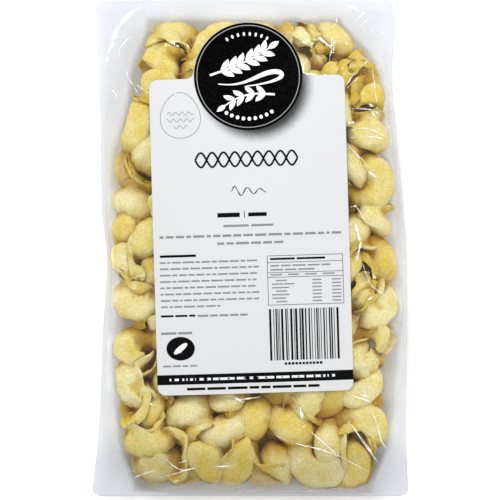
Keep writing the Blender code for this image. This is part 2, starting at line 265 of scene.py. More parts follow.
def labelPaper():
    # Semi-gloss label paper: coated and calendered. Cool white, smooth, with a soft grainy printed shadow
    # to the lower right of the badge.
    material, tree, place = newMaterial("semi-gloss coated label paper")
    x, y = fromLabel(badge["across"], badge["along"])
    shadow = ((x + badge["shadowShift"][0]) * mm, (y + badge["shadowShift"][1]) * mm, 0)
    centred = addNode(tree, "VectorMath", {"operation": "SUBTRACT", 0: place, 1: shadow})
    flat = addNode(tree, "VectorMath", {"operation": "MULTIPLY", 0: centred, 1: (1, 1, 0)})
    reach = addNode(tree, "VectorMath", {"operation": "LENGTH", 0: flat}, "Value")
    speckle = addNode(tree, "TexNoise", {"Vector": place, "Scale": perMetre(0.7), "Detail": 1.0})
    rough = addNode(tree, "Math", {"operation": "MULTIPLY_ADD", 0: speckle, 1: 0.002, 2: reach})
    shade = addNode(tree, "MapRange", {
        "interpolation_type": "SMOOTHSTEP", "Value": rough, "To Min": 0.93, "To Max": 0.0,
        "From Min": badge["radius"] * mm * 0.86, "From Max": badge["radius"] * mm * 1.16,
    })
    colour = addNode(tree, "Mix", {
        "data_type": "RGBA", "Factor": shade, 6: srgb("#C4C5C6"), 7: srgb("#060606"),
    }, 2)
    fibre = addNode(tree, "TexNoise", {"Vector": place, "Scale": perMetre(1.2), "Detail": 3.0})
    bump = addNode(tree, "Bump", {"Strength": 0.08, "Distance": 0.0001, "Height": fibre})
    paper = addNode(tree, "BsdfPrincipled", {
        "Base Color": colour, "Roughness": 0.5, "Specular IOR Level": 0.12, "Normal": bump,
    })
    addNode(tree, "OutputMaterial", {"Surface": paper})
    return material


def printedInk(name, code, roughness):
    # Label ink: flexo printed and varnished. An even colour that breaks up a little at the paper's scale.
    material, tree, place = newMaterial(name)
    mottle = addNode(tree, "TexNoise", {"Vector": place, "Scale": perMetre(1.5), "Detail": 3.0})
    share = addNode(tree, "MapRange", {"Value": mottle, "From Min": 0.45, "From Max": 0.8, "To Max": 0.015})
    colour = addNode(tree, "Mix", {
        "data_type": "RGBA", "Factor": share, 6: srgb(code), 7: srgb("#8C8C8E"),
    }, 2)
    ink = addNode(tree, "BsdfPrincipled", {
        "Base Color": colour, "Roughness": roughness, "Specular IOR Level": 0.02,
    })
    addNode(tree, "OutputMaterial", {"Surface": ink})
    return material


def paintedFloor():
    # Studio table: sprayed matt lacquer. Plain, nearly white, without gloss.
    material, tree, place = newMaterial("matt white lacquered table")
    cloud = addNode(tree, "TexNoise", {"Vector": place, "Scale": perMetre(400)})
    colour = addNode(tree, "Mix", {
        "data_type": "RGBA", "Factor": cloud, 6: srgb("#FBFBFB"), 7: srgb("#FDFDFD"),
    }, 2)
    addNode(tree, "OutputMaterial", {
        "Surface": addNode(tree, "BsdfPrincipled", {"Base Color": colour, "Roughness": 0.9}),
    })
    return material


def addPiece(name, mesh, material, slotName, *nodes):
    mesh.materials.append(material)
    mesh.shade_smooth()
    piece = addObject(name, mesh)
    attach(piece, "root")
    if nodes:
        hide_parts(*nodes)


# Where each tortellino lies
# One tortellino as balls: a filled half-moon bent into a ring. Its belly faces -Y, its joint +Y, its brim +Z.
tortellino = {
    "ring": 7.9, "belly": 6.9, "end": 2.4, "taper": 2.2, "turn": 172.0, "ringBalls": 7, "ringShare": 0.92,
    "brim": 6.0, "brimBall": 2.4, "brimReach": 9.4, "brimBalls": 2, "brimShare": 0.45,
}

# Tortellini that show round the label: x, y, the side that faces up, the turn in degrees, and the kind
shownPieces = (
    (-48, 99, "front", -60, "frilled"), (-47, 82, "brim", 60, "frilled"), (-22, 98, "belly", 100, "plump"),
    (26, 100, "front", 120, "plump"), (46, 99, "side", 10, "curled"), (58, 86, "rear", 45, "folded"),
    (58, 65, "front", 95, "curled"), (60, 48, "front", 70, "plump"), (53, 35, "side", 60, "open"),
    (63, 32, "belly", 180, "plump"), (58, 13, "front", 95, "frilled"), (52, -2, "rear", 200, "curled"),
    (66, -14, "belly", 170, "plump"), (55, -25, "front", 120, "folded"), (60, -44, "front", 60, "open"),
    (68, -66, "side", 90, "folded"), (52, -64, "front", -50, "curled"), (57, -84, "front", 215, "plump"),
    (44, -104, "front", 30, "curled"), (62, -100, "side", 40, "open"), (28, -81, "belly", 200, "plump"),
    (17, -100, "front", 200, "plump"), (0, -88, "rear", 110, "frilled"), (-4, -109, "front", 200, "open"),
    (24, -114, "side", 0, "folded"), (-25, -80, "front", 250, "curled"), (-28, -96, "front", 255, "plump"),
    (-30, -113, "belly", 10, "plump"), (-52, -78, "front", 135, "curled"),
    (-61, -92, "belly", 80, "frilled"), (-53, -109, "front", 150, "folded"),
    (-57, 49, "brim", 130, "folded"), (-62, 17, "belly", 100, "plump"), (-52, 28, "side", 0, "open"),
    (-60, -12, "front", 10, "curled"), (-53, -27, "belly", 85, "plump"), (-63, -42, "rear", 75, "frilled"),
    (-55, -58, "front", 110, "plump"), (-63, 1, "side", 60, "folded"),
)
packing = {
    "seed": 7, "steps": 260, "push": 0.35, "spin": 0.8, "scatter": 1.5, "shownTilt": 0.25, "tilt": 0.3,
    "shownSink": 9, "sink": 10, "lift": 8.0,
    # the hidden ones, under the label and along the back: half width, half length, spacing
    "under": (38, 66, 34.0), "back": (60, 108, 27.0),
}


def tortellinoBalls():
    one, balls = tortellino, []
    for share in np.linspace(-one["ringShare"], one["ringShare"], one["ringBalls"]):
        angle = math.radians(-90 + share * one["turn"])
        radius = one["end"] + (one["belly"] - one["end"]) * (1 - abs(share) ** one["taper"])
        balls.append((one["ring"] * math.cos(angle), one["ring"] * math.sin(angle), 0, radius))
    for share in np.linspace(-one["brimShare"], one["brimShare"], one["brimBalls"]):
        angle, reach = math.radians(-90 + share * one["turn"]), one["brimReach"]
        rise = one["belly"] + one["brim"] * (1 - share**2) - one["brimBall"]
        balls.append((reach * math.cos(angle), reach * math.sin(angle), rise, one["brimBall"]))
    table = np.array(balls)
    return table[:, :3], table[:, 3]


def rotationBy(vector):
    angle = float(np.linalg.norm(vector))
    if angle < 1e-9:
        return np.eye(3)
    x, y, z = np.asarray(vector) / angle
    cross = np.array([(0, -z, y), (z, 0, -x), (-y, x, 0)])
    return np.eye(3) + math.sin(angle) * cross + (1 - math.cos(angle)) * cross @ cross


def turnOf(facing, degrees, tilt):
    sides = {
        "belly": (0, -1, 0), "joint": (0, 1, 0), "brim": (0, 0, 1), "base": (0, 0, -1), "side": (1, 0, 0),
        "front": (0, -0.8, 0.6), "rear": (0, 0.7, 0.714),
    }
    up = np.array(sides[facing], float)
    ahead = np.array((0, -1, 0) if facing in ("brim", "base") else (0, 0, 1), float)
    ahead -= up * (up @ ahead)
    ahead /= np.linalg.norm(ahead)
    local = np.stack([ahead, np.cross(up, ahead), up])
    c, s = math.cos(math.radians(degrees)), math.sin(math.radians(degrees))
    inPlane = np.array([(c, -s, 0), (s, c, 0), (0, 0, 1)])
    return rotationBy(tilt) @ inPlane @ local


def firstPlaces():
    draw = np.random.default_rng(packing["seed"])
    faces = ("belly", "joint", "brim", "base", "side")
    kinds = tuple(doughKinds)
    places, turns, names = [], [], []
    for x, y, facing, degrees, kind in shownPieces:
        places.append((x, y, float(pillowHeight(x, y)) - packing["shownSink"]))
        turns.append(turnOf(facing, degrees, draw.normal(0, packing["shownTilt"], 3)))
        names.append(kind)
    for layer in ("under", "back"):
        halfX, halfY, pitch = packing[layer]
        for row, y in enumerate(np.linspace(-halfY, halfY, int(2 * halfY / pitch) + 1)):
            for x in np.linspace(-halfX, halfX, int(2 * halfX / pitch) + row % 2 + 1):
                spot = (x + draw.normal(0, packing["scatter"]), y + draw.normal(0, packing["scatter"]))
                height = packing["lift"] if layer == "back" else float(pillowHeight(*spot)) - packing["sink"]
                places.append((*spot, height))
                facing, degrees = faces[draw.integers(5)], draw.uniform(0, 360)
                turns.append(turnOf(facing, degrees, draw.normal(0, packing["tilt"], 3)))
                names.append(kinds[len(names) % len(kinds)])
    return np.array(places), np.array(turns), names


def contactPush(balls, reach, strangers):
    squares = (balls**2).sum(1)
    distance = np.sqrt(np.clip(squares[:, None] + squares - 2 * balls @ balls.T, 1e-6, None))
    weight = 0.5 * np.where(strangers, np.clip(reach - distance, 0, None), 0) / distance
    return balls * weight.sum(1)[:, None] - weight @ balls


def wallPush(balls, radii):
    x, y, z = balls.T
    push = np.zeros_like(balls)
    push[:, 0] = np.clip(edgeAt(room["left"], y) + radii - x, 0, None)
    push[:, 0] -= np.clip(x + radii - edgeAt(room["right"], y), 0, None)
    push[:, 1] = np.clip(room["bottom"] + radii - y, 0, None) - np.clip(y + radii - room["top"], 0, None)
    push[:, 2] = np.clip(room["film"] + radii - z, 0, None)
    push[:, 2] -= np.clip(z + radii - pillowHeight(x, y) + room["film"], 0, None)
    return push


def packHeap():
    places, turns, names = firstPlaces()
    centres, radii = tortellinoBalls()
    count, each = len(places), len(radii)
    owner = np.repeat(np.arange(count), each)
    allRadii = np.tile(radii, count)
    reach = allRadii[:, None] + allRadii[None, :]
    strangers = owner[:, None] != owner[None, :]
    spinWeight = (centres**2).sum()
    for _ in range(packing["steps"]):
        arms = np.einsum("nij,kj->nki", turns, centres)
        balls = (places[:, None] + arms).reshape(-1, 3)
        push = contactPush(balls, reach, strangers) + wallPush(balls, allRadii)
        byPiece = push.reshape(count, each, 3)
        places = places + packing["push"] * byPiece.sum(1)
        spins = packing["spin"] * np.cross(arms, byPiece).sum(1) / spinWeight
        turns = np.array([rotationBy(spin) @ turn for spin, turn in zip(spins, turns)])
    return places, turns, names


# The tortellini
# ring and belly are radii of the bent half-moon, brim its sealed flap, curl the flap's bend outwards in
# radians, turn how far it goes round to each side, ruffle the flap's waves, dents how many neighbours pressed
# into it
doughTraits = ("ring", "belly", "brim", "curl", "turn", "ruffle", "dents", "seed")
doughKinds = {kind: dict(zip(doughTraits, traits)) for kind, *traits in (
    ("plump", 7.6, 7.3, 6.5, 1.3, 186, 0.6, 3, 11),
    ("curled", 8.0, 6.6, 9.0, 2.0, 188, 0.9, 4, 23),
    ("folded", 8.0, 6.8, 8.0, -1.2, 186, 0.8, 4, 37),
    ("frilled", 7.4, 6.2, 9.0, 0.8, 188, 2.0, 3, 41),
    ("open", 9.0, 6.6, 7.5, 1.5, 160, 1.1, 4, 59),
)}
dough = {
    "around": 44, "along": 60, "flapSteps": 10, "sheet": 0.8, "end": 1.6, "pinchTall": 3.2, "pinchHalf": 1.0,
    "pinchFrom": 0.7, "pinchFull": 0.97, "tip": 0.07, "overlap": 1.3, "pleat": 0.14, "fullness": 2.4,
    "rootAngle": 65, "wrap": 310, "rootHeight": 0.906, "crowding": 0.85, "smooth": 0.3,
    "unevenness": 1.0, "lump": 6.0, "fine": 2.2, "wrinkle": 0.75, "wrinkleSize": 6.0,
    "dentDepth": 2.0, "dentWidth": 4.2, "dimples": 3, "dimpleDepth": 1.5, "dimpleWidth": 1.5,
    "sizeSpread": 0.04, "stretchSpread": 0.08, "hiddenSize": 1.18, "clearance": 0.2,
    "pressBand": 1.4, "sideBand": 1.2, "spare": 0.2, "hiddenInset": 5.0, "insetBelow": -60.0, "settle": 9.0,
    # Painted shade on the dough: the rise of a fold that gets full golden shade, how often the surface is
    # smoothed to find folds, how strong that shade is, and how deep in the heap the golden-brown shade is
    # full
    "hollow": 0.7, "hollowRounds": 30, "hollowColour": 0.7, "heapShade": 8.5,
}


def doughSurface(kind, along, around):
    # along runs -1..1 from one pinched end to the other, around 0..1 from the rim of the brim down the
    # outside, under the belly and up the inside back to the rim
    draw = np.random.default_rng(kind["seed"])
    shift = draw.uniform(0, 6.28, 6)
    reach = np.abs(along)
    pinch = smoothStep(dough["pinchFrom"], dough["pinchFull"], reach)
    tip = np.sqrt(np.clip(1 - np.clip((reach - 1 + dough["tip"]) / dough["tip"], 0, 1) ** 2, 0.003, 1))
    flapShare = dough["flapSteps"] / dough["around"]
    down = np.clip((around - flapShare) / (1 - 2 * flapShare), 0, 1)
    under = math.radians(dough["rootAngle"]) - down * math.radians(dough["wrap"])
    pleats = np.sin(4.0 * under + shift[4]) + 0.5 * np.sin(7.0 * under + shift[5])
    pleats = 1 + dough["pleat"] * pleats * smoothStep(0.25, 0.7, reach)
    belly = dough["end"] + (kind["belly"] - dough["end"]) * (1 - reach ** dough["fullness"])
    half = (belly * (1 - pinch) + dough["pinchHalf"] * pinch) * tip
    tall = (belly * 1.04 * (1 - pinch) + dough["pinchTall"] * pinch) * tip
    fromRoot = np.where(around < 0.5, 1 - around / flapShare, (around - 1 + flapShare) / flapShare)
    onFlap = fromRoot > 0
    out = np.clip(fromRoot, 0, 1)
    flap = kind["brim"] * np.clip(1 - along**2, 0, 1) ** 0.6
    rim = 1 + 0.13 * np.sin(3.1 * along + shift[0]) + 0.06 * np.sin(11 * along + shift[1])
    flap = tip * (flap * rim + 0.2)
    curl = kind["curl"] * (1 + 0.3 * np.sin(2.3 * along + shift[2]))
    lean = curl * out
    waves = np.sin(10.5 * along + shift[3]) + 0.6 * np.sin(19 * along + shift[1])
    ruffle = kind["ruffle"] * out**1.6 * waves * (1 - pinch)
    thick = dough["sheet"] * np.sqrt(np.clip(1 - out**5, 0, 1))
    thick = thick + (0.42 * half - dough["sheet"]) * (1 - out) ** 3
    side = np.where(around < 0.5, 1, -1) * np.minimum(thick, 0.45 * half + 0.1) + ruffle
    flapOut = flap * (1 - np.cos(lean)) / curl + side * np.cos(lean)
    flapUp = dough["rootHeight"] * tall + flap * np.sin(lean) / curl - side * np.sin(lean)
    outward = np.where(onFlap, flapOut, half * pleats * np.cos(under))
    upward = np.where(onFlap, flapUp, tall * pleats * np.sin(under))
    angle = np.radians(-90 + along * kind["turn"])
    spiral = along * reach**5
    radius = kind["ring"] * (1 - 0.2 * pinch) + dough["overlap"] * spiral + outward
    return np.stack([radius * np.cos(angle) * 1.04, radius * np.sin(angle) * 0.96, upward + 0.8 * spiral], -1)


def pressed(point, normal, kind, dents):
    # Lumps of the filling, folds in the dough, and dents where neighbours or fingers pressed in
    lump = noise.noise(point / dough["lump"] + Vector((kind["seed"], 0, 0)))
    fine = noise.noise(point / dough["fine"] + Vector((0, kind["seed"], 0)))
    shift = dough["unevenness"] * (lump + 0.3 * fine)
    groove = abs(noise.noise(point / dough["wrinkleSize"] + Vector((0, 0, kind["seed"]))))
    shift -= dough["wrinkle"] * max(0.0, 1 - 9 * groove) ** 2
    for dent, deep, wide in dents:
        shift -= deep * math.exp(-(point - dent).length_squared / (2 * wide**2))
    return point + normal * shift


def makeTortellino(kind):
    # A sheet of dough wrapped into a closed tube: its long sides are joined at the rim, its ends are filled
    shape = bmesh.new()
    bmesh.ops.create_grid(shape, x_segments=dough["along"], y_segments=dough["around"], size=0.5)
    along, around = np.meshgrid(
        np.linspace(-1, 1, dough["along"] + 1), np.linspace(0, 1, dough["around"] + 1), indexing="ij",
    )
    along = np.sign(along) * np.abs(along) ** dough["crowding"]    # closer rings towards the pinched ends
    surface = doughSurface(kind, along, around)
    for point in shape.verts:
        cell = round((point.co.x + 0.5) * dough["along"]), round((point.co.y + 0.5) * dough["around"])
        point.co = Vector(surface[cell])
    bmesh.ops.remove_doubles(shape, verts=shape.verts[:], dist=0.02)
    bmesh.ops.holes_fill(shape, edges=[edge for edge in shape.edges if edge.is_boundary], sides=0)
    bmesh.ops.smooth_vert(
        shape, verts=shape.verts[:], factor=dough["smooth"],
        use_axis_x=True, use_axis_y=True, use_axis_z=True,
    )
    bmesh.ops.recalc_face_normals(shape, faces=shape.faces[:])
    # The ends touch the belly, which can turn the whole piece inside out
    if shape.calc_volume(signed=True) < 0:
        bmesh.ops.reverse_faces(shape, faces=shape.faces[:])
    shape.normal_update()
    draw = np.random.default_rng(kind["seed"] + 5)
    spots = draw.choice(len(shape.verts), kind["dents"] + dough["dimples"], replace=False)
    shape.verts.ensure_lookup_table()
    dents = []
    for index, spot in enumerate(spots):
        size = "dent" if index < kind["dents"] else "dimple"
        dents.append((shape.verts[int(spot)].co.copy(), dough[size + "Depth"], dough[size + "Width"]))
    moved = [pressed(point.co, point.normal, kind, dents) for point in shape.verts]
    for point, place in zip(shape.verts, moved):
        point.co = place
    bmesh.ops.triangulate(shape, faces=[face for face in shape.faces if len(face.verts) > 4])
    return meshOf(shape, "one tortellino")


def copiesOf(kind, placed):
    # Every copy of one kind as a single mesh, each a little different in size and squeezed by the film
    one = makeTortellino(doughKinds[kind])
    points = readPoints(one)
    # painted shade for the folds, one value for each point
    hollow = hollowness(one, points)
    draw = np.random.default_rng(doughKinds[kind]["seed"] + 100)
    shape = bmesh.new()
    tones = []
    for place, turn, hidden in placed:
        before = len(shape.verts)
        shape.from_mesh(one)
        shape.verts.ensure_lookup_table()
        size = draw.normal(1, dough["sizeSpread"]) * draw.normal(1, dough["stretchSpread"], 3)
        size = size * (dough["hiddenSize"] if hidden else 1)
        stretch = turn @ np.diag(size)
        place = movedInside(points @ stretch.T, place, hidden)
        rows = [(*stretch[row], place[row]) for row in range(3)] + [(0, 0, 0, 1)]
        bmesh.ops.transform(shape, matrix=Matrix(rows), verts=shape.verts[before:])
        tones += [draw.uniform(0, 1)] * (len(shape.verts) - before)
    mesh = meshOf(shape, "tortellini " + kind)
    bpy.data.meshes.remove(one)
    points = squeezed(readPoints(mesh))
    writePoints(mesh, points)
    storeValues(mesh, tone=tones, hollow=np.tile(hollow, len(placed)), depth=depthIn(points))
    return mesh, points


def hollowness(mesh, points):
    # Painted shade for the folds of the dough: 1 in the folds, 0 where it is flat or bulges, from how far the
    # smoothed surface stands above it
    edges = np.empty(len(mesh.edges) * 2, int)
    mesh.edges.foreach_get("vertices", edges)
    first, second = edges.reshape(-1, 2).T
    count = np.bincount(edges, minlength=len(points))[:, None]
    normals = np.empty(len(points) * 3)
    mesh.vertices.foreach_get("normal", normals)
    smooth = points
    for _ in range(dough["hollowRounds"]):
        total = np.zeros_like(points)
        np.add.at(total, first, smooth[second])
        np.add.at(total, second, smooth[first])
        smooth = (smooth + total / count) / 2
    rise = ((smooth - points) * normals.reshape(-1, 3)).sum(1)
    return dough["hollowColour"] * smoothStep(0.0, dough["hollow"], rise)


def depthIn(points):
    # 0 at the film or the table, 1 deep in the heap: how much painted shade the dough gets there
    x, y, z = points.T
    aside = np.minimum(x - edgeAt(room["left"], y), edgeAt(room["right"], y) - x)
    aside = np.minimum(aside, np.minimum(y - room["bottom"], room["top"] - y))
    nearest = np.minimum.reduce([pillowHeight(x, y) - z, z - room["film"], 1.5 * aside + 2])
    return np.clip(nearest / dough["heapShade"], 0, 1)


def lowestAt(x):
    return np.interp(x, *zip(*room["lowest"]))


def movedInside(arms, place, hidden):
    # Moves a piece until it stands through the film, the seams and the table by no more than a little.
    # Hidden ones stay farther in at the lower right. Shown ones near the bottom slide down to touch it.
    place = np.array(place)
    spare = dough["spare"]
    inset = dough["hiddenInset"] if hidden and place[1] < dough["insetBelow"] else 0
    for turn in range(4):
        x, y, z = (arms + place).T
        slide = (y - lowestAt(x)).min()
        if turn == 1 and not hidden and 0 < slide < dough["settle"]:
            place[1] -= slide
            continue
        place[0] += max(0, (edgeAt(room["left"], y) - x).max() - spare)
        place[0] -= max(0, (x - edgeAt(room["right"], y)).max() - spare + inset)
        place[1] += max(0, (lowestAt(x) - y).max() - spare) - max(0, (y - room["top"]).max() - spare)
        place[2] -= max(0, (z - pillowHeight(x, y) + room["film"]).max() - spare)
        place[2] += max(0, (room["film"] - z).max() - spare)
    return place


def readPoints(mesh):
    points = np.empty(len(mesh.vertices) * 3)
    mesh.vertices.foreach_get("co", points)
    return points.reshape(-1, 3)


def writePoints(mesh, points):
    mesh.vertices.foreach_set("co", (points * mm).ravel())
    mesh.update()


def softLimit(value, limit, band):
    # Leaves values below limit - band alone, and eases higher ones towards the limit
    over = np.clip(value - (limit - band), 0, None)
    return np.where(over > 0, limit - band * np.exp(-over / band), value)


def squeezed(points):
    # Dough that would stand through the film or the table is flattened against it
    x, y, z = points.T
    side, band = dough["sideBand"], dough["pressBand"]
    y = softLimit(y, room["top"], side)
    y = -softLimit(-y, -lowestAt(x), side)
    x = softLimit(x, edgeAt(room["right"], y), side)
    x = -softLimit(-x, -edgeAt(room["left"], y), side)
    z = softLimit(z, pillowHeight(x, y) - room["film"] - dough["clearance"], band)
    z = -softLimit(-z, -room["film"] - dough["clearance"], band)
    return np.stack([x, y, z], -1)


def addTortellini():
    places, turns, names = packHeap()
    material = freshEggPasta()
    everything = []
    hidden = [index >= len(shownPieces) for index in range(len(places))]
    for kind in doughKinds:
        placed = [each[:3] for each in zip(places, turns, hidden, names) if each[3] == kind]
        if not placed:
            continue
        mesh, points = copiesOf(kind, placed)
        addPiece("tortellini_" + kind, mesh, material, "filled_film")
        everything.append(points)
        print("tortellini,", kind, len(placed), "pieces,", len(points), "points")
    return np.concatenate(everything)


# The film
film = {
    "columns": 176, "rows": 276, "gap": 0.3, "sheet": 0.12, "pull": 0.0516, "labelGrow": 1.5,
    "held": 2.6, "crumple": 0.7, "crumpleSize": 13.0, "marginStart": -1.0, "marginEnd": 3.0,
    # Painted shade: the film turns greyer in bands at both sealed ends and towards the bottom end, at the
    # ends partly for the doubled seal; the bottom band also has less haze seen edge on
    "weldStart": 113.0, "weldEnd": 119.0, "weldGrey": 0.42, "bottomEndFrom": 92.0, "bottomEndTo": 108.0,
    "ceilingGrow": 4.0, "flatGrow": 2.5, "looseBand": 6, "offTable": 0.02,
    # coarse to fine: the stride across the grid, and how many times the sheet settles
    "settling": ((4, 500), (2, 260), (1, 120)),
}


def toLabel(x, y):
    angle = math.radians(label["turn"])
    right, up = x - label["centre"][0], y - label["centre"][1]
    return right * math.cos(angle) + up * math.sin(angle), up * math.cos(angle) - right * math.sin(angle)


def fromLabel(across, along):
    angle = math.radians(label["turn"])
    return (
        label["centre"][0] + across * math.cos(angle) - along * math.sin(angle),
        label["centre"][1] + across * math.sin(angle) + along * math.cos(angle),
    )


def onLabel(x, y, grow):
    across, along = toLabel(x, y)
    halfWidth, halfLength = label["width"] / 2 + grow, label["length"] / 2 + grow
    lobe = np.hypot(across - badge["across"], along - badge["along"]) < label["lobe"] + grow
    return (np.abs(across) < halfWidth) & (np.abs(along) < halfLength) | lobe


def pouchGrid():
    down, over = np.meshgrid(
        np.linspace(0, 1, film["rows"] + 1), np.linspace(0, 1, film["columns"] + 1), indexing="ij",
    )
    y = pouch["bottom"] + (pouch["top"] - pouch["bottom"]) * down
    nearEnd = np.clip(pouch["corner"] - np.minimum(y - pouch["bottom"], pouch["top"] - y), 0, pouch["corner"])
    inset = pouch["corner"] - np.sqrt(pouch["corner"] ** 2 - nearEnd**2)
    left = edgeAt(pouch["left"], y) + inset
    right = edgeAt(pouch["right"], y) - inset
    return left + (right - left) * over, y


def widest(field, reach, pick):
    for axis in (0, 1):
        padded = np.pad(field, [(reach, reach) if axis == a else (0, 0) for a in (0, 1)], mode="edge")
        size = field.shape[axis]
        shifted = [np.take(padded, range(start, start + size), axis) for start in range(2 * reach + 1)]
        field = pick.reduce(shifted)
    return field


def refined(field, shape):
    for axis in (0, 1):
        steps = np.linspace(0, field.shape[axis] - 1, shape[axis])
        low = np.minimum(steps.astype(int), field.shape[axis] - 2)
        share = (steps - low)[:, None] if axis == 0 else (steps - low)[None, :]
        field = np.take(field, low, axis) * (1 - share) + np.take(field, low + 1, axis) * share
    return field


def drawnTight(start, held, low, high, pull, cell):
    # The film settles at its neighbours' mean, pulled towards the food, from coarse to fine
    height = None
    for step, turns in film["settling"]:
        reach = step - 1
        lowHere = widest(low, reach, np.maximum)[::step, ::step]
        highHere = widest(high, reach, np.minimum)[::step, ::step]
        startHere, heldHere = start[::step, ::step], held[::step, ::step]
        height = startHere if height is None else refined(height, startHere.shape)
        drag = pull * (cell * step) ** 2 / 4
        for _ in range(turns):
            mean = height.copy()
            around = height[:-2, 1:-1] + height[2:, 1:-1] + height[1:-1, :-2] + height[1:-1, 2:]
            mean[1:-1, 1:-1] = around / 4
            height = np.where(heldHere, startHere, np.clip(mean + drag, lowHere, highHere))
    return height


def heapSurfaces(points, x, y):
    down = (points[:, 1] - pouch["bottom"]) / (pouch["top"] - pouch["bottom"]) * film["rows"]
    rows = np.clip(np.round(down).astype(int), 0, film["rows"])
    left, right = x[rows, 0], x[rows, -1]
    over = (points[:, 0] - left) / (right - left) * film["columns"]
    columns = np.clip(np.round(over).astype(int), 0, film["columns"])
    top, under = np.full(x.shape, -np.inf), np.full(x.shape, np.inf)
    np.maximum.at(top, (rows, columns), points[:, 2])
    np.minimum.at(under, (rows, columns), points[:, 2])
    return widest(top, 1, np.maximum), widest(under, 1, np.minimum)


def filmHeights(points, x, y):
    edge = np.minimum.reduce([
        x - edgeAt(pouch["left"], y), edgeAt(pouch["right"], y) - x, y - pouch["bottom"], pouch["top"] - y,
    ])
    seam = pouch["seam"] + pouch["seamWave"] * np.sin(y / 17) * np.cos(x / 23)
    sealed = edge < film["held"]
    labelled = onLabel(x, y, film["labelGrow"])
    ceiling = np.where(onLabel(x, y, film["ceilingGrow"]), pillowHeight(x, y), np.inf)
    top, under = heapSurfaces(points, x, y)
    half, cell = film["sheet"], (pouch["top"] - pouch["bottom"]) / film["rows"]
    front = np.where(labelled, pillowHeight(x, y), seam + half)
    low = np.maximum(np.where(np.isfinite(top), top + film["gap"], -np.inf), seam + half)
    low = np.minimum(low, ceiling)
    front = drawnTight(front, sealed | labelled, low, ceiling, -film["pull"], cell)
    high = np.minimum(np.where(np.isfinite(under), under - film["gap"], np.inf), seam - half)
    back = drawnTight(seam - half, sealed, np.full(x.shape, -np.inf), high, film["pull"], cell)
    loose = smoothStep(film["held"], film["held"] + film["looseBand"], edge)
    front = front + crumpled(x, y, 0) * loose * ~onLabel(x, y, film["flatGrow"])
    back = back - crumpled(x, y, 50) * loose
    return front, np.where(sealed, back, np.clip(back, film["offTable"], None))


def crumpled(x, y, seed):
    # Small ridges where the film was creased in packing: always away from the food
    size = film["crumpleSize"]
    heights = np.empty(x.shape)
    for cell in np.ndindex(x.shape):
        place = Vector((x[cell] / size, y[cell] / size, seed))
        bend = noise.noise(place * 0.6)
        ridge = 1 - abs(noise.noise(place + Vector((bend, -bend, 0)) * 1.5)) * 2.2
        heights[cell] = max(0.0, ridge) ** 3 * max(0.0, 0.35 + noise.noise(place * 0.45 + Vector((9, 9, 9))))
    return film["crumple"] * heights


def addFilm(points):
    x, y = pouchGrid()
    front, back = filmHeights(points, x, y)
    shape = bmesh.new()
    bmesh.ops.create_grid(shape, x_segments=film["columns"], y_segments=film["rows"], size=0.5)
    lower = list(shape.verts)
    lifted = bmesh.ops.extrude_face_region(shape, geom=shape.faces[:])
    upper = [item for item in lifted["geom"] if isinstance(item, bmesh.types.BMVert)]
    for sheet, heights in ((upper, front), (lower, back)):
        for point in sheet:
            cell = round((point.co.y + 0.5) * film["rows"]), round((point.co.x + 0.5) * film["columns"])
            point.co = Vector((x[cell], y[cell], heights[cell])) * mm
    bmesh.ops.recalc_face_normals(shape, faces=shape.faces[:])
    mesh = meshOf(shape, "film")
    px, py, _ = readPoints(mesh).T / mm
    outside = np.maximum(edgeAt(room["left"], py) - px, px - edgeAt(room["right"], py))
    outside = np.maximum(outside, np.maximum(room["bottom"] - py, py - room["top"]))
    margin = smoothStep(film["marginStart"], film["marginEnd"], outside)
    # At the bottom end the film has less haze seen edge on and is greyer: painted shade, darker towards the
    # bottom. At both sealed ends it is greyer as well, partly for the doubled seal and partly as painted
    # shade.
    loose = 1 - smoothStep(film["bottomEndFrom"], film["bottomEndTo"], -py)
    ends = film["weldGrey"] * smoothStep(film["weldStart"], film["weldEnd"], np.abs(py))
    weld = np.maximum(ends, 1 - loose)
    storeValues(mesh, margin=margin, weld=weld, loose=loose)
    addPiece("film", mesh, clearFilm(), "filled_film", "pouch")
    print("film,", len(mesh.polygons), "faces")
    return x, y, front


# The label
label = {
    "width": 97.6, "length": 157.6, "centre": (0.6, 6.5), "turn": 1.7, "corner": 4.0, "fillet": 4.0,
    "lobe": 27.2, "under": 0.05, "thickness": 0.2, "wave": 0.12, "cut": 3.0, "curveSteps": 10, "sharp": 50.0,
}
badge = {
    "across": 0.8, "along": 79.2, "radius": 27.2, "inset": 0.15,
    "ring": 25.6, "ringWidth": 0.35, "dots": 21.3, "shadowShift": (3.6, -4.0),
}


def labelHeight(x, y):
    waves = label["wave"] * np.sin(x / 9.0 + y / 31.0) * np.sin(y / 14.0)
    return pillowHeight(x, y) + label["under"] + label["thickness"] + waves + label["wave"]


def arc(centre, radius, start, end, steps):
    return [
        (centre[0] + radius * math.cos(angle), centre[1] + radius * math.sin(angle))
        for angle in map(math.radians, np.linspace(start, end, steps + 1))
    ]


def labelOutline():
    halfWidth, halfLength = label["width"] / 2, label["length"] / 2
    cornerX, cornerY = halfWidth - label["corner"], halfLength - label["corner"]
    filletY, middle = halfLength + label["fillet"], badge["across"]
    filletX = math.sqrt((label["lobe"] + label["fillet"]) ** 2 - (filletY - badge["along"]) ** 2)
    touch = math.degrees(math.atan2(filletY - badge["along"], filletX))
    steps = label["curveSteps"]
    return [
        *arc((-cornerX, -cornerY), label["corner"], 180, 270, steps),
        *arc((cornerX, -cornerY), label["corner"], 270, 360, steps),
        *arc((cornerX, cornerY), label["corner"], 0, 90, steps),
        *arc((middle + filletX, filletY), label["fillet"], 270, 180 + touch, steps),
        *arc((middle, badge["along"]), label["lobe"], touch, 180 - touch, 8 * steps)[1:-1],
        *arc((middle - filletX, filletY), label["fillet"], -touch, -90, steps),
        *arc((-cornerX, cornerY), label["corner"], 90, 180, steps),
    ]


